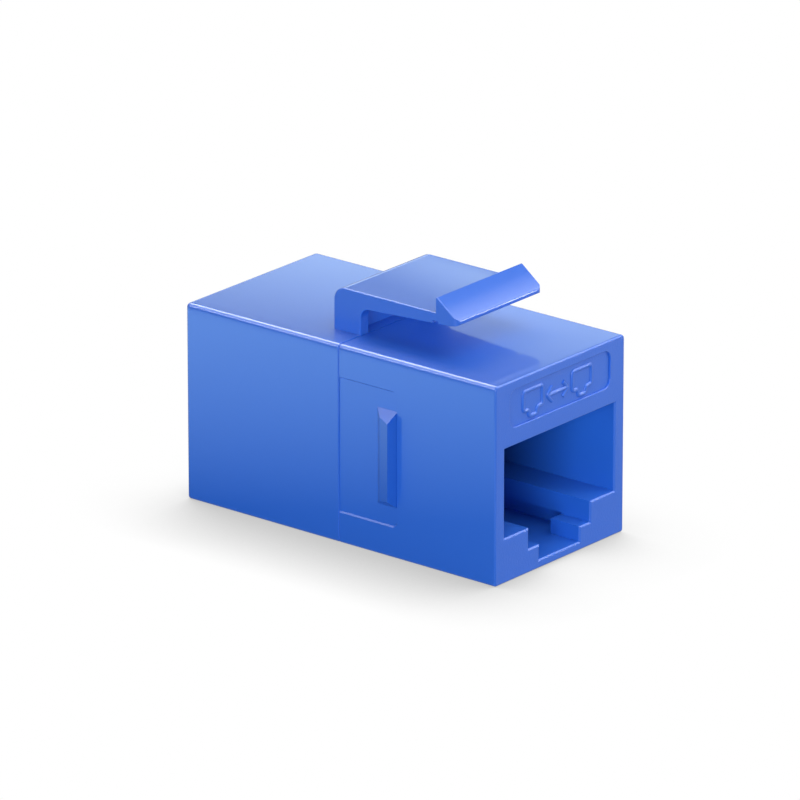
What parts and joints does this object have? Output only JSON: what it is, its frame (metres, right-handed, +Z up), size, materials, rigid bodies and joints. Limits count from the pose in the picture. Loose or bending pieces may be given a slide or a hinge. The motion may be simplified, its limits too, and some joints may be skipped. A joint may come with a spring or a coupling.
{
  "type": "inline network coupler",
  "caption": "Inline coupler for patch cords: a blue moulded body in two halves with a modular jack in each end, a springy panel latch on top and a hipped ridge on each side.",
  "frame": {"origin": "centre of the underside, at the seam between the halves", "axes": "+X along the length toward the port under the label plate, +Y across, +Z up toward the latch"},
  "size_m": [0.0284, 0.0162, 0.0191],
  "materials": {
    "housing": "blue moulded, glossy",
    "carrier": "black moulded",
    "board": "green solder mask",
    "contact": "thin gold plating"
  },
  "bodies": {
    "root": {"front_housing": "housing", "rear_housing": "housing", "circuit_board": "board", "front_contact_carrier": "carrier", "rear_contact_carrier": "carrier", "front_contact_1": "contact", "front_contact_2": "contact", "front_contact_3": "contact", "front_contact_4": "contact", "front_contact_5": "contact", "front_contact_6": "contact", "front_contact_7": "contact", "front_contact_8": "contact", "rear_contact_1": "contact", "rear_contact_2": "contact", "rear_contact_3": "contact", "rear_contact_4": "contact", "rear_contact_5": "contact", "rear_contact_6": "contact", "rear_contact_7": "contact", "rear_contact_8": "contact"}
  },
  "joints": []
}
